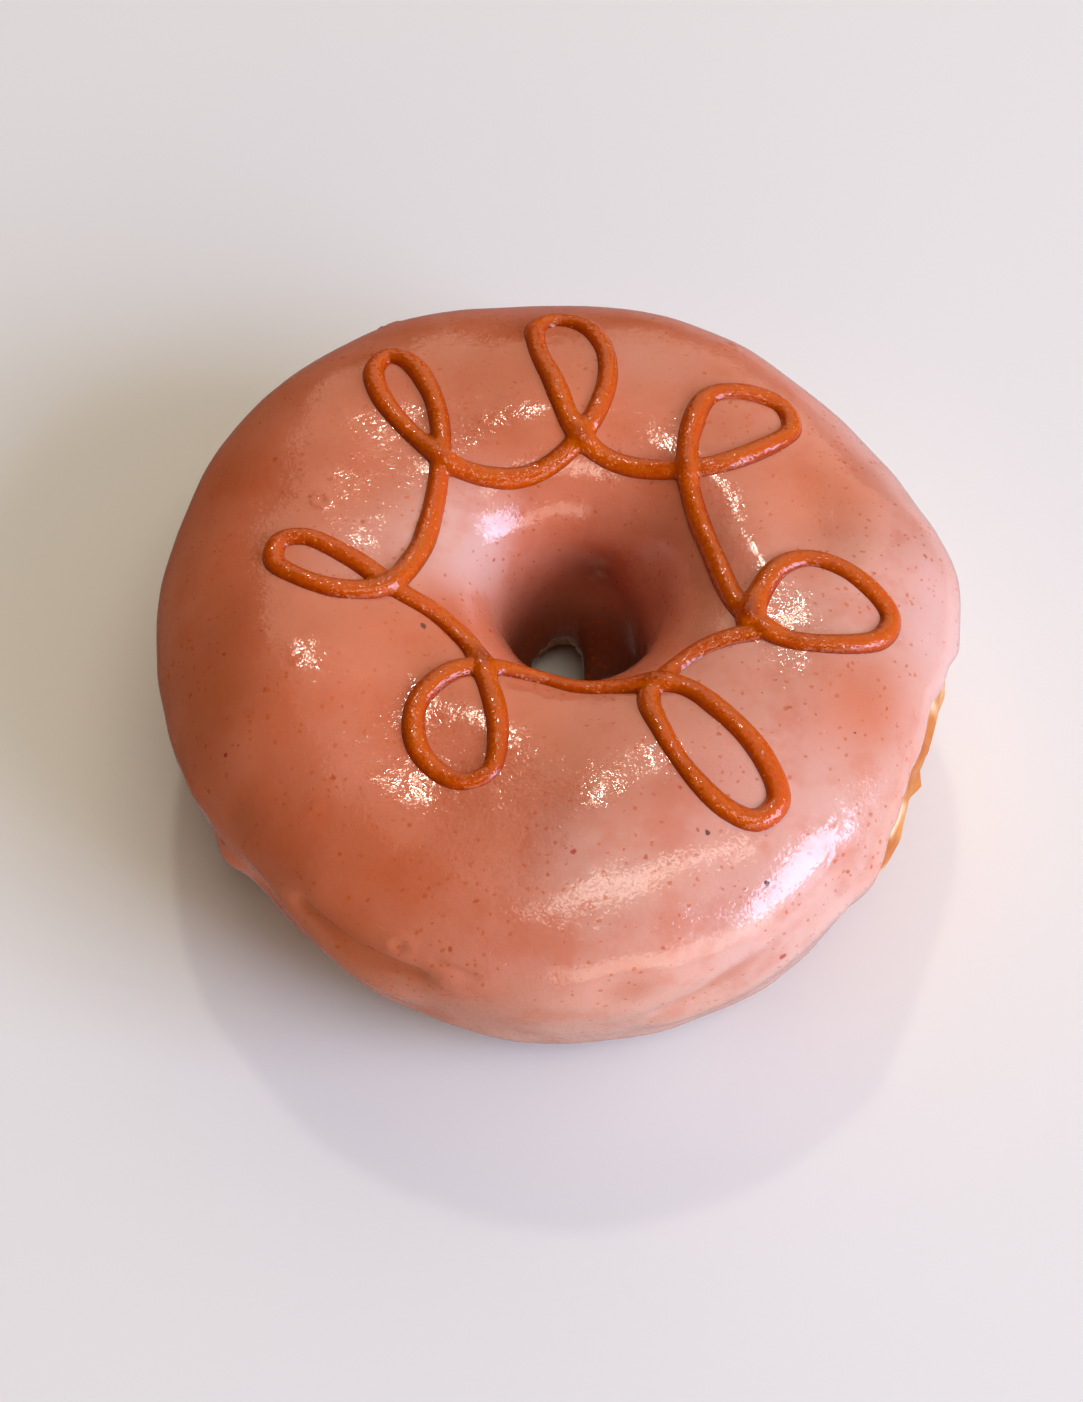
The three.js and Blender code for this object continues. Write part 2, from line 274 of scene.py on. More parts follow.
def noise(tree, place, size, detail=2.0, roughness=0.5):
    """Soft random value around 0.5 with features of about the given size in metres."""
    node = add(tree, "ShaderNodeTexNoise", {
        "Vector": place, "Scale": 0.5 / size, "Detail": detail, "Roughness": roughness,
    })
    return node.outputs["Fac"]


def effect_group(name, inputs, outputs):
    """Empty shader node group with named number inputs (with a start value) and outputs."""
    group = bpy.data.node_groups.new(name, "ShaderNodeTree")
    group.interface.new_socket("Place", in_out="INPUT", socket_type="NodeSocketVector")
    for label, value in inputs.items():
        socket = group.interface.new_socket(label, in_out="INPUT", socket_type="NodeSocketFloat")
        socket.default_value = value
    for label in outputs:
        group.interface.new_socket(label, in_out="OUTPUT", socket_type="NodeSocketFloat")
    return group, group.nodes.new("NodeGroupInput"), group.nodes.new("NodeGroupOutput")


# Specks: irregular dots scattered through the volume, such as crumbs, spice or burst bubbles. Spacing
# and Radius are in metres, and Share is the part of the places that holds one.
SPECK_WOBBLE = 0.0006  # metres by which the outlines waver
specks_group, into, out = effect_group(
    "scattered specks", {"Spacing": 0.002, "Radius": 0.0005, "Share": 0.5}, ["Mask"]
)
scale = sums(specks_group, "DIVIDE", 1.0, into.outputs["Spacing"])
wobble = add(specks_group, "ShaderNodeTexNoise", {
    "Vector": into.outputs["Place"], "Scale": 1400.0, "Detail": 1.0,
})
shift = vectors(specks_group, "SUBTRACT", {0: wobble.outputs["Color"], 1: (0.5, 0.5, 0.5)})
shift = vectors(specks_group, "SCALE", {0: shift, "Scale": SPECK_WOBBLE})
place = vectors(specks_group, "ADD", {0: into.outputs["Place"], 1: shift})
cells = add(specks_group, "ShaderNodeTexVoronoi", {"Vector": place, "Scale": scale})
kind = add(specks_group, "ShaderNodeSeparateColor", {0: cells.outputs["Color"]})
radius = sums(specks_group, "MULTIPLY", into.outputs["Radius"], scale)
variety = steps(specks_group, kind.outputs[1], 0.0, 1.0, 0.5, 1.3)
radius = sums(specks_group, "MULTIPLY", radius, variety)
away = sums(specks_group, "DIVIDE", cells.outputs["Distance"], radius)
dot = steps(specks_group, away, 0.55, 1.0, 1.0, 0.0)
held = sums(specks_group, "LESS_THAN", kind.outputs[0], into.outputs["Share"])
specks_group.links.new(sums(specks_group, "MULTIPLY", dot, held), out.inputs["Mask"])


def specks(tree, place, spacing, radius, share):
    """Mask of scattered specks in a material; spacing and radius in metres."""
    inputs = {"Place": place, "Spacing": spacing, "Radius": radius, "Share": share}
    return add(tree, "ShaderNodeGroup", inputs, node_tree=specks_group).outputs["Mask"]


fried_dough = bpy.data.materials.new("fried dough")
tree, skin_shader = shader(fried_dough)
place = add(tree, "ShaderNodeTexCoord").outputs["Object"]
height = add(tree, "ShaderNodeSeparateXYZ", {0: place}).outputs["Z"]
browning = noise(tree, place, 0.006, 4.0, 0.6)
tone = blend(tree, steps(tree, browning, 0.3, 0.7), colour("#e0a14e"), colour("#b9631c"))
# Darker towards the underside: the fried colour browns there, and it stands for painted shade low in the
# hole.
tone = blend(tree, steps(tree, height, 0.012, 0.0, 0.0, 0.75), tone, colour("#8a4313"))
tone = dab(tree, tone, specks(tree, place, 0.0016, 0.00032, 0.35), 0.6, "#7a3a10")
streaks = steps(tree, noise(tree, place, 0.0035, 2.0), 0.42, 0.6)
tone = dab(tree, tone, layer(tree, "glaze smear"), streaks, "#f3dcae")
pores = noise(tree, place, 0.0006, 3.0, 0.65)
relief = add(tree, "ShaderNodeBump", {"Strength": 0.6, "Distance": 0.0003, "Height": pores})
tree.links.new(tone, skin_shader.inputs["Base Color"])
tree.links.new(steps(tree, pores, 0.3, 0.7, 0.45, 0.65), skin_shader.inputs["Roughness"])
tree.links.new(relief.outputs[0], skin_shader.inputs["Normal"])
skin_shader.inputs["Subsurface Weight"].default_value = 0.15
skin_shader.inputs["Subsurface Radius"].default_value = (1.0, 0.5, 0.2)
skin_shader.inputs["Subsurface Scale"].default_value = 0.0015

dough_mesh = ring_mesh("dough", dough_points, {"glaze smear": smear})
dough = finished_piece("dough", dough_mesh, fried_dough, "dough_ring")


# ---- Glaze coat ----------------------------------------------------------------------------------
# The ring was dipped face down in warm sugar glaze and turned over, so the coat ran down the sides and
# set in drips and a rounded bead. Sugar grains, burst bubbles and bits of spice show in it.

GLAZE_DEPTH = 1.4  # from the smooth dough to the outside of the coat
COAT_SEAT = 0.12  # from the dough to the inside of the coat
EDGE_ROUNDING = 4.5  # degrees of the section over which the edge rounds up to full depth
BEAD_DEPTH = 0.55
BEAD_PLACE = 8  # degrees of the section from the edge
FEATHERED = 15  # degrees more of rounding where the edge runs out thinly
FEATHER = [(0, 0.8), (12, 0), (180, 0), (298, 0), (314, 1), (345, 1)]  # azimuth, how thinly it runs out
WAVE_RADIUS = 40  # of the circle on which the edge's waver is drawn
EDGE_FINENESS = 0.09
ROUND_STEPS = 440
COAT_STEPS = 184
INNER_STEPS = 26

azimuths = np.linspace(0, 2 * np.pi, ROUND_STEPS, endpoint=False)[:, None]
circle = np.concatenate([np.cos(azimuths), np.sin(azimuths), 0 * azimuths], 1)
edge_line = circle * WAVE_RADIUS
edge_wave = 1.6 * lumps(edge_line, 5, 21)[:, None] + 0.7 * lumps(edge_line, 2.2, 22)[:, None]
start = around(OUTER_EDGE, np.degrees(azimuths)) + edge_wave
end = 180 + around(HOLE_EDGE, np.degrees(azimuths)) + edge_wave[::-1]
share = np.linspace(0, 1, COAT_STEPS)[None]
share = share - EDGE_FINENESS * np.sin(2 * np.pi * share) / np.pi  # finer steps near both edges
angles = start + (end - start) * share
from_edge = np.minimum(angles - start, end - angles)
outer_half = angles < 90
feather = around(FEATHER, np.degrees(azimuths)) * outer_half
rise = np.clip(from_edge / (EDGE_ROUNDING + FEATHERED * feather), 0, 1)
bead = BEAD_DEPTH * np.exp(-(((from_edge - BEAD_PLACE) / BEAD_PLACE) ** 2)) * (1 - feather)
smooth = over_dough(azimuths, np.radians(angles), GLAZE_DEPTH)


def spot(azimuth, angle):
    """Point on the smooth coat at an azimuth and an angle of the section in degrees, in mm."""
    return over_dough(np.radians(azimuth), np.radians(angle), GLAZE_DEPTH)


def bump(azimuth, angle, radius, height):
    """Round swelling, or a dent for a negative height: a bell curve of the distance from a spot."""
    apart = np.linalg.norm(smooth - spot(azimuth, angle), axis=-1)
    return height * np.exp(-((apart / radius) ** 2))


def bubble(azimuth, angle, radius, height):
    """Burst bubble: a low rim of the given radius round a shallow pit."""
    apart = np.linalg.norm(smooth - spot(azimuth, angle), axis=-1)
    rim = np.exp(-(((apart - radius) / (0.35 * radius)) ** 2))
    return height * rim - 0.8 * height * np.exp(-((apart / (0.6 * radius)) ** 2))


def crease(path, width, height):
    """Ridge, or a groove for a negative height, along spots: a bell curve of the distance from the
    polyline through them."""
    spots = np.array([spot(*place) for place in path])
    nearest = np.full(smooth.shape[:2], 1e9)
    for first, last in zip(spots[:-1], spots[1:]):
        reach = last - first
        along = np.clip((smooth - first) @ reach / (reach @ reach), 0, 1)[..., None]
        nearest = np.minimum(nearest, np.linalg.norm(smooth - first - along * reach, axis=-1))
    return height * np.exp(-((nearest / width) ** 2))


CREASES = [  # spots (azimuth, angle of the section), width, height
    ([(-126, 10), (-120.5, 5), (-116.5, 2), (-112, 1.5), (-108, 3)], 1.7, -0.95),
    ([(-130, -8), (-121, -13), (-113, -15)], 3.8, 0.65),
    ([(-124, 22), (-113, 17), (-106, 14)], 4.0, 0.3),
    ([(-106, 19.5), (-103.5, 19), (-101, 17.5)], 0.45, -0.3),
    ([(-45, 19), (-52, 15), (-60.5, 7), (-65, -1), (-69.5, -8), (-76, -11)], 1.6, -0.35),
    ([(-44, 6), (-51, 0), (-60, -10), (-66, -18), (-74, -22)], 3.2, 0.6),
]
BUMPS = [  # azimuth, angle of the section, radius, height
    (-81.5, 10, 3.2, -0.45), (-78, 11, 2.4, -0.25), (4, 68, 3.5, 0.35), (22, 62, 4, 0.25),
    (-142, 22, 2.5, -0.3), (-152, 8, 3, 0.5), (-145, -22, 3, 0.5),
]
BUBBLES = [  # azimuth, angle of the section, radius, height
    (157.5, 84, 0.9, 0.22), (-132.5, 54, 0.55, 0.15), (-111, 20.5, 1.3, 0.2), (-45, 42, 0.8, 0.2),
    (-48, 33, 0.6, 0.18), (-84, 62.5, 0.55, 0.15), (135, 68, 0.35, 0.2), (60, 40, 0.8, 0.2),
    (115, 20, 1.0, 0.2),
]
body = GLAZE_DEPTH - COAT_SEAT + bead
body += 0.05 * lumps(smooth, 8, 23) + 0.012 * lumps(smooth, 2.6, 24) + 0.005 * lumps(smooth, 1.2, 25)
body += sum(crease(*row) for row in CREASES)
body += sum(bump(*row) for row in BUMPS) + sum(bubble(*row) for row in BUBBLES)
depth = COAT_SEAT + body * (1 - (1 - rise) ** 2) ** (0.5 + 0.4 * feather)
puffed = unevenness(over_dough(azimuths, np.radians(angles), 0))
outside = over_dough(azimuths, np.radians(angles), depth + puffed)
inner_angles = start + (end - start) * np.linspace(1, 0, INNER_STEPS)[None]
seat = over_dough(azimuths, np.radians(inner_angles), 0)
inside = over_dough(azimuths, np.radians(inner_angles), COAT_SEAT + unevenness(seat))[:, 1:-1]
coat_points = np.concatenate([outside, inside], 1)

# How thin the coat is at each point, with painted shade added in a few spots; how much painted sheen
# pales it, with painted shade where that goes negative; and how far down the hole it is, for painted
# shade there. All of it is for its colour.
# Spots of painted shade: the groove over the bead at the front left, the hollow beside the crest, and
# darker patches on the front left and on the left.
SHADE_SPOTS = [  # x, y, z, reach, share
    (-17, -38, 31, 5, 0.5), (-41, -20, 28, 6, 0.5), (33, 12, 36, 8, 0.4), (-22, -44.5, 25.5, 4.5, 1.0),
]
# Spots of painted sheen, the largest on the funnel wall that faces the window; a negative share is
# painted shade, as in the hollow beside the crest.
SHEEN_AND_SHADE_SPOTS = [
    (-11, 8, 33.5, 9, 0.9), (5, -38, 34, 7, 0.35), (11, 34, 35, 8, 0.35), (-24, 3, 36, 7, 0.35),
    (36, -17, 34, 7, -0.5), (34, 14, 35, 8, -0.35),
]
# Where the coat is thin and where the dough puffed up under it, plus the spots of painted shade.
thin_and_shaded = np.clip(1.35 - body, 0, 1) + 0.35 * np.clip(puffed, 0, 1) + bells(smooth, SHADE_SPOTS)
x, y, z = np.moveaxis(smooth, -1, 0)
# Painted sheen: paler towards the window on the right, towards the front and lower down the sides.
painted_sheen = np.clip((x - 0.42 * y - 0.8 * z + 30.5) / 64, 0, 1) + bells(smooth, SHEEN_AND_SHADE_SPOTS)
hidden = np.ones(inside.shape[:2])
layers = {
    "thinness_and_shade": np.concatenate([thin_and_shaded, hidden], 1),
    "painted_sheen": np.concatenate([painted_sheen, 0 * hidden], 1),
    "painted_hole_shade": np.concatenate([np.clip((angles - 156) / 40, 0, 1), hidden], 1),
}

# Grain: the fine crystals of set sugar. Each is a small facet turned a little its own way, so a lamp
# breaks into glints. Size is in metres and Tilt is the most that a facet leans, as a slope.
grain_group, into, out = effect_group("sugar grain", {"Size": 0.0005, "Tilt": 0.1}, ["Height", "Dull"])
grain_group.interface.new_socket("Facets", in_out="OUTPUT", socket_type="NodeSocketVector")
scale = sums(grain_group, "DIVIDE", 1.0, into.outputs["Size"])
wider = sums(grain_group, "MULTIPLY", scale, 0.28)
fine = add(grain_group, "ShaderNodeTexNoise", {
    "Vector": into.outputs["Place"], "Scale": scale, "Detail": 1.0, "Roughness": 0.5,
}).outputs["Fac"]
coarse = add(grain_group, "ShaderNodeTexNoise", {
    "Vector": into.outputs["Place"], "Scale": wider, "Detail": 1.0,
}).outputs["Fac"]
fine, rough = sums(grain_group, "MULTIPLY", fine, 0.5), sums(grain_group, "MULTIPLY", coarse, 0.7)
grain_group.links.new(sums(grain_group, "ADD", fine, rough), out.inputs["Height"])
grain_group.links.new(steps(grain_group, coarse, 0.35, 0.65), out.inputs["Dull"])
crystals = add(grain_group, "ShaderNodeTexVoronoi", {"Vector": into.outputs["Place"], "Scale": scale})
lean = vectors(grain_group, "SUBTRACT", {0: crystals.outputs["Color"], 1: (0.5, 0.5, 0.5)})
most = sums(grain_group, "MULTIPLY", into.outputs["Tilt"], 2.0)
lean = vectors(grain_group, "SCALE", {0: lean, "Scale": most})
level = add(grain_group, "ShaderNodeNewGeometry").outputs["Normal"]
leant = vectors(grain_group, "ADD", {0: level, 1: lean})
grain_group.links.new(vectors(grain_group, "NORMALIZE", {0: leant}), out.inputs["Facets"])


def grain(tree, place, size, tilt):
    """Height, dullness and facet normals of sugar grain in a material; size in metres, tilt a slope."""
    inputs = {"Place": place, "Size": size, "Tilt": tilt}
    node = add(tree, "ShaderNodeGroup", inputs, node_tree=grain_group)
    return node.outputs["Height"], node.outputs["Dull"], node.outputs["Facets"]


sugar_glaze = bpy.data.materials.new("sugar glaze")
tree, glaze_shader = shader(sugar_glaze)
place = add(tree, "ShaderNodeTexCoord").outputs["Object"]
cloud = noise(tree, place, 0.011, 2.0)
cloudy = steps(tree, cloud, 0.35, 0.65)
# The pale pair stands for painted sheen and the deep pair for the glaze's own colour; the layer of
# painted sheen moves the tone from one to the other.
pale = blend(tree, cloudy, colour("#deb9ad"), colour("#daaa96"))
deep = blend(tree, cloudy, colour("#d8825f"), colour("#ce7048"))
sheen_share = layer(tree, "painted_sheen")
# Lighter on the lower sides, the most where the painted sheen is strong: more painted sheen.
flank = steps(tree, add(tree, "ShaderNodeSeparateXYZ", {0: place}).outputs["Z"], 0.037, 0.022)
flank = sums(tree, "MULTIPLY", flank, steps(tree, sheen_share, 0.3, 0.65, 0.2, 1.0))
deep = blend(tree, flank, deep, colour("#da9678"))
sheen_share = sums(tree, "ADD", sheen_share, sums(tree, "MULTIPLY", sums(tree, "SUBTRACT", cloud, 0.5), 0.5))
tone = blend(tree, steps(tree, sheen_share, 0.0, 1.0), deep, pale)
mottling = noise(tree, place, 0.0035, 3.0, 0.6)
tone = blend(tree, steps(tree, mottling, 0.45, 0.7, 0.0, 0.35), tone, colour("#cc6438"))
# A darker, browner tone where the coat is thin and where painted shade lies.
tone = blend(tree, steps(tree, layer(tree, "thinness_and_shade"), 0.1, 0.9, 0.0, 0.6), tone, colour("#b9602f"))
# Painted shade in the hole: darker the further down it the coat goes.
tone = blend(tree, steps(tree, layer(tree, "painted_hole_shade"), 0.0, 1.0, 0.0, 0.8), tone, colour("#6b2a12"))
crowd = noise(tree, place, 0.005, 2.0)
freckles = specks(tree, place, 0.001, 0.00027, steps(tree, crowd, 0.35, 0.7, 0.15, 0.9))
tone = dab(tree, tone, freckles, 0.6, "#c65f22")
drops = specks(tree, place, 0.0022, 0.00032, steps(tree, crowd, 0.3, 0.7, 0.1, 0.8))
tone = dab(tree, tone, drops, 0.7, "#bc5418")
tone = dab(tree, tone, specks(tree, place, 0.0055, 0.00035, 0.3), 0.85, "#4a2018")  # brown bits
tone = dab(tree, tone, specks(tree, place, 0.0083, 0.0005, 0.4), 0.8, "#a8141e")  # red bits
grit, dull, facets = grain(tree, place, 0.00036, 0.028)
dots = sums(tree, "MULTIPLY", specks(tree, place, 0.0016, 0.0002, 0.3), -0.6)
pits = sums(tree, "ADD", grit, dots)
relief = add(tree, "ShaderNodeBump", {
    "Strength": 1.0, "Distance": 0.00005, "Height": pits, "Normal": facets,
})
tree.links.new(tone, glaze_shader.inputs["Base Color"])
tree.links.new(steps(tree, dull, 0.0, 1.0, 0.07, 0.16), glaze_shader.inputs["Roughness"])
tree.links.new(relief.outputs[0], glaze_shader.inputs["Normal"])
glaze_shader.inputs["IOR"].default_value = 1.6
glaze_shader.inputs["Subsurface Weight"].default_value = 0.25
glaze_shader.inputs["Subsurface Radius"].default_value = (1.0, 0.35, 0.2)
glaze_shader.inputs["Subsurface Scale"].default_value = 0.0018

glaze_mesh = ring_mesh("glaze", coat_points, layers)
glaze = finished_piece("glaze", glaze_mesh, sugar_glaze, "glaze_coat")


# ---- Caramel line --------------------------------------------------------------------------------
# Soft caramel, piped through a small round nozzle in one pass: along the hole's lip, then out into each
# of seven loops in turn. It sank into the glaze a little, and crossings melted together.

LINE_WIDTH = 2.8
LINE_HEIGHT = 1.25
LINE_SINK = 0.3  # how far its foot goes into the glaze
LINE_STEP = 0.4
CROSSING_LIFT = 0.5  # share of the height by which the later pass rides over the earlier
CROSSING_REACH = 3.6
LOOP_LENGTH = 12
END_ROUNDING = 1.6
END_SWELL = 0.4
END_SWELL_LENGTH = 3
MELT_FINENESS = 0.21
SETTLE_PASSES = 9
ROUTE = [
    (24.5, -7.5), (21, -8), (17, -9.5), (13.5, -12.5),
    (11, -16.5), (12.5, -22.5), (15.5, -28), (19.5, -32), (23, -33), (25.5, -30.5), (24, -25.5),
    (19.5, -19.5), (14.5, -15),
    (8, -14.5), (3, -14), (-2, -12), (-7, -11.5),
    (-12, -13), (-16, -18), (-15.5, -24), (-11, -28), (-7.5, -27), (-6.5, -21.5), (-8, -13.5),
    (-10, -8), (-14, -4), (-18.5, -1.5),
    (-24.5, 3), (-30, 6), (-33, 5.5), (-33.5, 2.5), (-30, -0.5), (-25, -2), (-20, -1),
    (-16.5, 4), (-15, 9), (-14, 16),
    (-14, 23), (-15.5, 29), (-18.5, 34.5), (-21, 35.5), (-22.5, 33), (-21.5, 28), (-17, 21.5),
    (-12, 17), (-6, 16), (-1, 17.5),
    (3.5, 21.5), (6.5, 28.5), (6.5, 35.5), (4, 41), (0.5, 42.5), (-2, 41), (-2, 36), (0, 29.5),
    (2.5, 22.5),
    (6, 19), (12, 17),
    (19, 16.5), (25.5, 19.5), (29.5, 23.5), (28.5, 27.5), (24, 29), (19.5, 28), (17, 22.5),
    (16.5, 14.5), (19, 5), (22.5, -4.5),
    (27, -8.5), (33, -9.5), (38.5, -8), (40, -4.5), (36, 0.5), (31, 3), (27, 1.5), (24, -3), (23, -7),
]


def through(points, step):
    """Evenly spaced stations on a centripetal Catmull-Rom curve through points: each span blends the
    straight lines between its four nearest points, timed by the square roots of their distances."""
    ends = np.concatenate([[2 * points[0] - points[1]], points, [2 * points[-1] - points[-2]]])
    times = np.concatenate([[0], np.cumsum(np.linalg.norm(np.diff(ends, axis=0), axis=1) ** 0.5)])
    fine = []
    for i in range(1, len(ends) - 2):
        t = np.linspace(times[i], times[i + 1], 24, endpoint=False)[:, None]
        t0, t1, t2, t3 = times[i - 1 : i + 3]
        p0, p1, p2, p3 = ends[i - 1 : i + 3]
        a1 = (p0 * (t1 - t) + p1 * (t - t0)) / (t1 - t0)
        a2 = (p1 * (t2 - t) + p2 * (t - t1)) / (t2 - t1)
        a3 = (p2 * (t3 - t) + p3 * (t - t2)) / (t3 - t2)
        b1 = (a1 * (t2 - t) + a2 * (t - t0)) / (t2 - t0)
        b2 = (a2 * (t3 - t) + a3 * (t - t1)) / (t3 - t1)
        fine.append((b1 * (t2 - t) + b2 * (t - t1)) / (t2 - t1))
    fine = np.concatenate(fine + [points[-1:]])
    along = np.concatenate([[0], np.cumsum(np.linalg.norm(np.diff(fine, axis=0), axis=1))])
    stations = np.linspace(0, along[-1], int(round(along[-1] / step)) + 1)
    return np.stack([np.interp(stations, along, fine[:, i]) for i in (0, 1)], -1), stations


def top_height(x, y, depth):
    """Height of the upper side of a cover of the dough over places in plan, in mm: the superellipse of
    over_dough solved for up."""
    azimuth, radius = np.arctan2(y, x), np.hypot(x, y)
    outer = OUTER_RADIUS + sum(
        swell * np.cos(lobes * (azimuth - np.radians(peak))) for lobes, swell, peak in OUTLINE_WAVES
    )
    throat = THROAT_RADIUS + THROAT_SHIFT * np.cos(azimuth - np.radians(THROAT_AZIMUTH))
    crest = CREST_RADIUS + CREST_SHIFT * np.cos(azimuth)
    outside = radius > crest
    line = np.where(outside, WAIST_HEIGHT, THROAT_HEIGHT)
    half_width = np.where(outside, outer - crest, crest - throat) + depth
    power = np.where(outside, SHOULDER, FUNNEL)
    share = np.minimum(abs(radius - crest) / half_width, 0.999)
    return line + (CREST_HEIGHT - line + depth) * (1 - share**power) ** (1 / power)


plan, along = through(np.array(ROUTE, float), LINE_STEP)
apart = np.linalg.norm(plan[:, None] - plan[None], axis=-1)
apart[along[:, None] - along[None] < LOOP_LENGTH] = CROSSING_REACH
nearness = 1 - np.clip(apart.min(1) / CROSSING_REACH, 0, 1)
lift = LINE_HEIGHT * CROSSING_LIFT * nearness**2 * (3 - 2 * nearness)


def on_glaze(x, y):
    """Point on the glaze over a place in plan, in mm from the ring's axis."""
    foot = np.stack([x, y, top_height(x, y, GLAZE_DEPTH)], -1)
    foot[..., 2] += unevenness(foot)
    return foot


x, y = plan.T
foot = on_glaze(x, y)
near = 0.3  # mm to either side, for the slope of the glaze
eastward = on_glaze(x + near, y) - on_glaze(x - near, y)
northward = on_glaze(x, y + near) - on_glaze(x, y - near)
normal = np.cross(eastward, northward)
normal /= np.linalg.norm(normal, axis=1, keepdims=True)
forward = np.gradient(foot, axis=0)
side = np.cross(forward, normal)
side /= np.linalg.norm(side, axis=1, keepdims=True)
from_end = np.clip((np.minimum(along, along[-1] - along) + 0.3) / END_ROUNDING, 0, 1)
end_drop = END_SWELL * np.exp(-(((along[-1] - along) / END_SWELL_LENGTH) ** 2))
size = np.sqrt(1 - (1 - from_end) ** 2) * (1 + end_drop)
size *= 1 + 0.06 * lumps(foot, 9, 31) + 0.012 * lumps(foot, 3, 32)
outline = np.array([
    (1.04, -0.2), (1.02, 0.12), (0.95, 0.34), (0.83, 0.58), (0.63, 0.81), (0.36, 0.95), (0.12, 1.0),
])
outline = np.concatenate([outline, outline[::-1] * (-1, 1)])
across = outline[None, :, :1] * size[:, None, None] * LINE_WIDTH / 2
upward = outline[None, :, 1:] * size[:, None, None] * LINE_HEIGHT + (lift - LINE_SINK)[:, None, None]
strand = foot[:, None] + across * side[:, None] + upward * normal[:, None]


def strand_mesh(name, rings):
    """Closed tube through rings of points (along, round, 3) in mm, filled in at both ends."""
    count, size = rings.shape[:2]
    corner = np.arange(count * size).reshape(count, size)
    beside = np.roll(corner, -1, 1)
    faces = np.stack([corner[:-1], beside[:-1], beside[1:], corner[1:]], -1).reshape(-1, 4).tolist()
    faces += [corner[0, ::-1].tolist(), corner[-1].tolist()]
    mesh = bpy.data.meshes.new(name)
    mesh.from_pydata(((rings + axis) * MM).reshape(-1, 3).tolist(), [], faces)
    return mesh


# The strand is melted into one solid: a fine regular mesh over its outside, then smoothed.
rough = bpy.data.objects.new("piped line", strand_mesh("piped line", strand))
bpy.context.scene.collection.objects.link(rough)
melt = rough.modifiers.new("melt", "REMESH")
melt.mode = "VOXEL"
melt.voxel_size = MELT_FINENESS * MM
settle = rough.modifiers.new("settle", "SMOOTH")
settle.factor = 0.5
settle.iterations = SETTLE_PASSES
melted = rough.evaluated_get(bpy.context.evaluated_depsgraph_get())
caramel_mesh = bpy.data.meshes.new_from_object(melted)
bpy.data.objects.remove(rough)
caramel_mesh.name = "caramel"
caramel_mesh.shade_smooth()
points = np.empty(len(caramel_mesh.vertices) * 3, np.float32)
caramel_mesh.vertices.foreach_get("co", points)
points = points.reshape(-1, 3) / MM - axis
crown = (points[:, 2] - on_glaze(points[:, 0], points[:, 1])[:, 2]) / LINE_HEIGHT
crown_layer = caramel_mesh.attributes.new("crown", "FLOAT", "POINT").data
crown_layer.foreach_set("value", crown.astype(np.float32))

soft_caramel = bpy.data.materials.new("soft caramel")
tree, caramel_shader = shader(soft_caramel)
place = add(tree, "ShaderNodeTexCoord").outputs["Object"]
crown_share = layer(tree, "crown")
cloud = noise(tree, place, 0.004, 3.0)
# Darker towards the strand's foot than on its crown: painted shade along its edges.
tone = blend(tree, steps(tree, crown_share, 0.0, 0.8), colour("#9c3402"), colour("#c85c02"))
tone = blend(tree, steps(tree, cloud, 0.4, 0.65, 0.0, 0.5), tone, colour("#cf5608"))
tone = blend(tree, steps(tree, crown_share, 1.0, 1.5, 0.0, 0.7), tone, colour("#9a3806"))
# Light flecks along the strand: partly sugar grains, partly painted glints.
tone = dab(tree, tone, specks(tree, place, 0.0007, 0.00014, 0.8), 0.55, "#f2a850")
tone = dab(tree, tone, specks(tree, place, 0.005, 0.0004, 0.2), 0.6, "#6b2a08")
grit, dull, facets = grain(tree, place, 0.0003, 0.14)
relief = add(tree, "ShaderNodeBump", {
    "Strength": 1.0, "Distance": 0.00003, "Height": grit, "Normal": facets,
})
tree.links.new(tone, caramel_shader.inputs["Base Color"])
tree.links.new(steps(tree, dull, 0.0, 1.0, 0.1, 0.2), caramel_shader.inputs["Roughness"])
tree.links.new(relief.outputs[0], caramel_shader.inputs["Normal"])
caramel_shader.inputs["Subsurface Weight"].default_value = 0.6
caramel_shader.inputs["Subsurface Radius"].default_value = (1.0, 0.35, 0.08)
caramel_shader.inputs["Subsurface Scale"].default_value = 0.0015
caramel_shader.inputs["IOR"].default_value = 1.5

caramel = finished_piece("caramel", caramel_mesh, soft_caramel, "caramel_line")


# ---- Floor ---------------------------------------------------------------------------------------
# A plain pale sheet under the doughnut, wide enough to fill the view from low angles. The coat mirrors
# only the round part under the ring; past it the coat sees the room's own table tone.

FLOOR_SIZE = 12.0
UNDER_RADIUS = 0.03
UNDER_CORNERS = 48
UNDER_LIFT = 0.0005  # share of its radius by which the round sheet lies over the floor


def sheet(name, corners, material):
    """Flat stage piece with the given corners in metres."""
    mesh = bpy.data.meshes.new(name)
    mesh.from_pydata(corners.tolist(), [], [list(range(len(corners)))])
    mesh.materials.append(material)
    piece = bpy.data.objects.new(name, mesh)
    bpy.context.scene.collection.objects.link(piece)
    return piece


pale_sheet = bpy.data.materials.new("pale sheet")
tree, sheet_shader = shader(pale_sheet)
sheet_shader.inputs["Base Color"].default_value = colour("#eef6f2")
sheet_shader.inputs["Roughness"].default_value = 0.9
sheet_shader.inputs["Specular IOR Level"].default_value = 0.1
corners = np.array([(-1, -1, 0), (1, -1, 0), (1, 1, 0), (-1, 1, 0)]) * FLOOR_SIZE / 2
sheet("floor", corners, pale_sheet).visible_glossy = False
turn = np.linspace(0, 2 * np.pi, UNDER_CORNERS, endpoint=False)
corners = np.stack([np.cos(turn), np.sin(turn), 0 * turn + UNDER_LIFT], -1) * UNDER_RADIUS
sheet("under the ring", corners, pale_sheet)


# ---- Light ---------------------------------------------------------------------------------------
# A cool window low on the right, a small warm lamp high up behind, a long warm panel above the front,
# and soft light from the ceiling and the walls. Each light faces the middle of the doughnut.

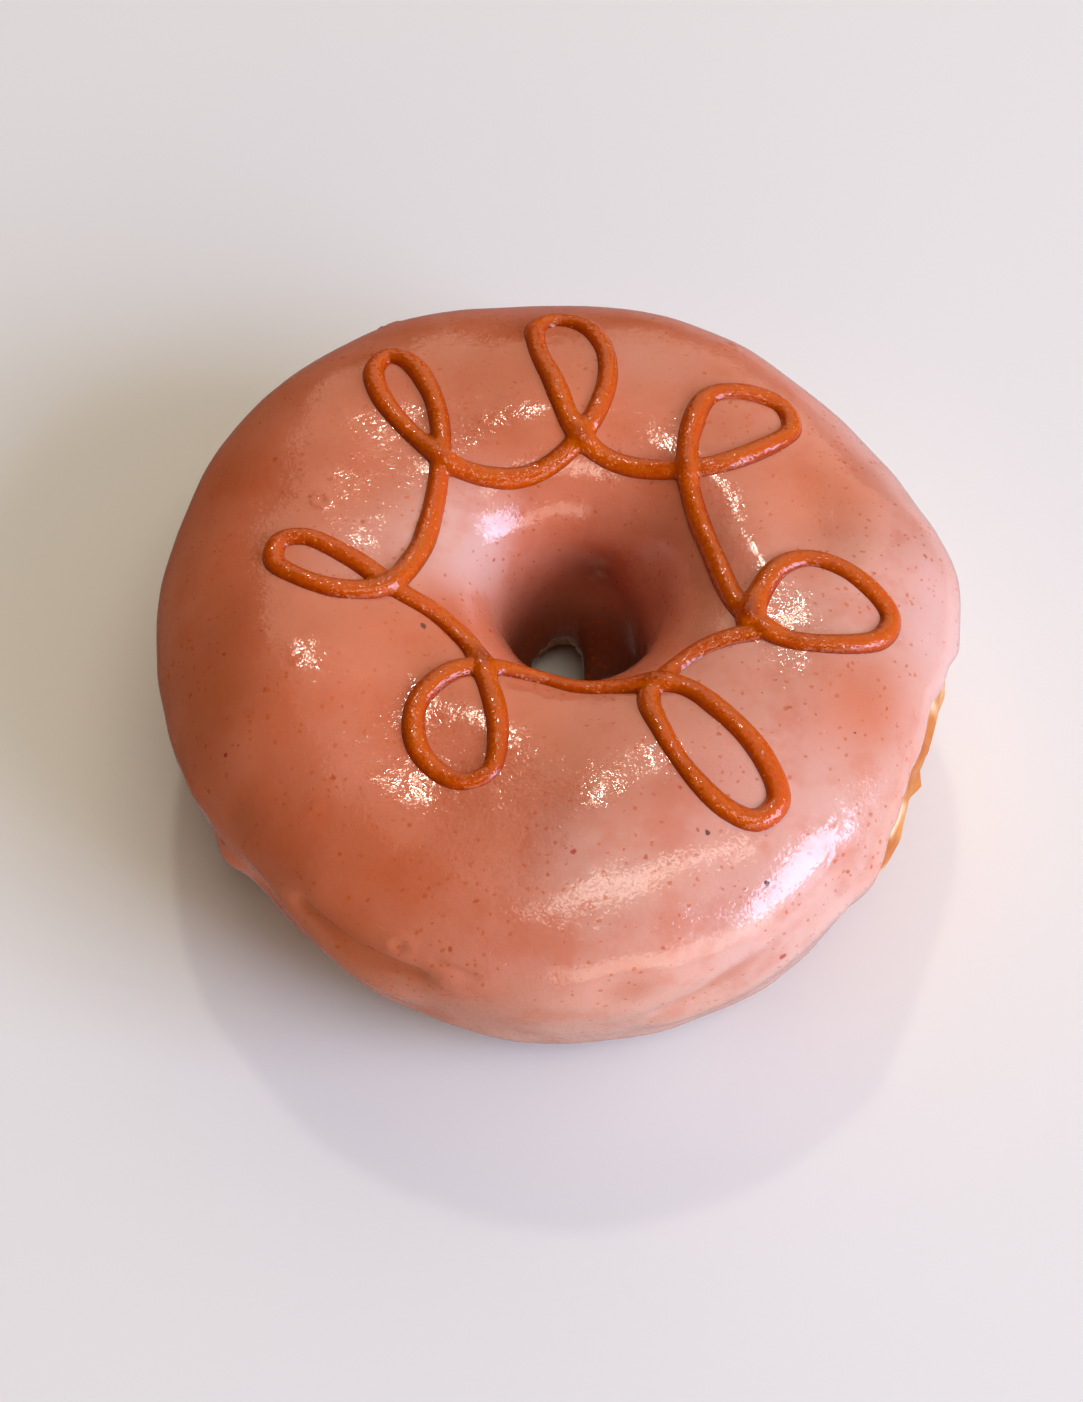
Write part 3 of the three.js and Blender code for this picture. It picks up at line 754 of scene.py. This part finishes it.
MIDDLE = np.array([0, 0, 0.025])
LIGHTS = [  # name, azimuth, elevation, distance, width, height (metres), watts, colour
    ("window", -26, 29, 2.0, 1.2, 0.9, 34.0, "#d4d8ff"),
    ("window side", -28, 18, 2.1, 1.7, 0.9, 8.0, "#ccd9ff"),
    ("lamp", 94, 60, 2.0, 0.11, 0.12, 4.0, "#fff0dc"),
    ("panel", -61, 68, 2.0, 1.3, 0.3, 6.0, "#fff0e0"),
    ("right wall", 10, 16, 2.0, 2.4, 0.9, 3.5, "#c8d4ff"),
    ("ceiling", 8, 68, 2.2, 2.6, 3.2, 14.0, "#ffe6d4"),
    ("back", 84, 35, 2.0, 2.0, 1.8, 12.0, "#ffdcc0"),
    ("front wall", -66, 12, 2.0, 2.2, 0.9, 17.0, "#ffe2d0"),
]


def facing(name, data, position, target):
    """Object at a position whose -Z axis points at the target."""
    thing = bpy.data.objects.new(name, data)
    bpy.context.scene.collection.objects.link(thing)
    away = Vector(position) - Vector(target)
    thing.location = position
    thing.rotation_euler = away.to_track_quat("Z", "Y").to_euler()
    return thing


for name, azimuth, elevation, distance, width, length, watts, tint in LIGHTS:
    light = bpy.data.lights.new(name, "AREA")
    light.shape = "RECTANGLE"
    light.size, light.size_y = width, length
    light.energy = watts
    light.color = colour(tint)[:3]
    turn, rise = np.radians(azimuth), np.radians(elevation)
    direction = np.array([np.cos(rise) * np.cos(turn), np.cos(rise) * np.sin(turn), np.sin(rise)])
    facing(name, light, MIDDLE + direction * distance, MIDDLE).visible_camera = False

# The room is dim above; below the horizon only the coat's mirror image sees it, as a table that is
# brighter towards the window.
world = bpy.data.worlds.new("room")
world.use_nodes = True
tree = world.node_tree
towards = add(tree, "ShaderNodeSeparateXYZ", {0: add(tree, "ShaderNodeTexCoord").outputs["Generated"]})
table = blend(tree, steps(tree, towards.outputs["X"], -0.5, 0.8), colour("#6a4a3e"), colour("#e6d6dc"))
room = blend(tree, steps(tree, towards.outputs["Z"], -0.02, -0.2), colour("#2a2018"), table)
tree.links.new(room, tree.nodes["Background"].inputs["Color"])
bpy.context.scene.world = world


# ---- Camera --------------------------------------------------------------------------------------
# It looks along +Y and down at the ring from 57 degrees up.

ELEVATION = 57
DISTANCE = 360
TARGET = axis + (-1.47, -4.63, 16.99)
FOCAL_LENGTH = 74.5
rise = np.radians(ELEVATION)
eye = TARGET + DISTANCE * np.array([0, -np.cos(rise), np.sin(rise)])
lens = bpy.data.cameras.new("camera")
lens.lens = FOCAL_LENGTH
lens.sensor_width = 36
lens.clip_start = 0.01
camera = facing("camera", lens, eye * MM, TARGET * MM)
bpy.context.scene.camera = camera
bpy.context.scene.view_settings.view_transform = "Standard"
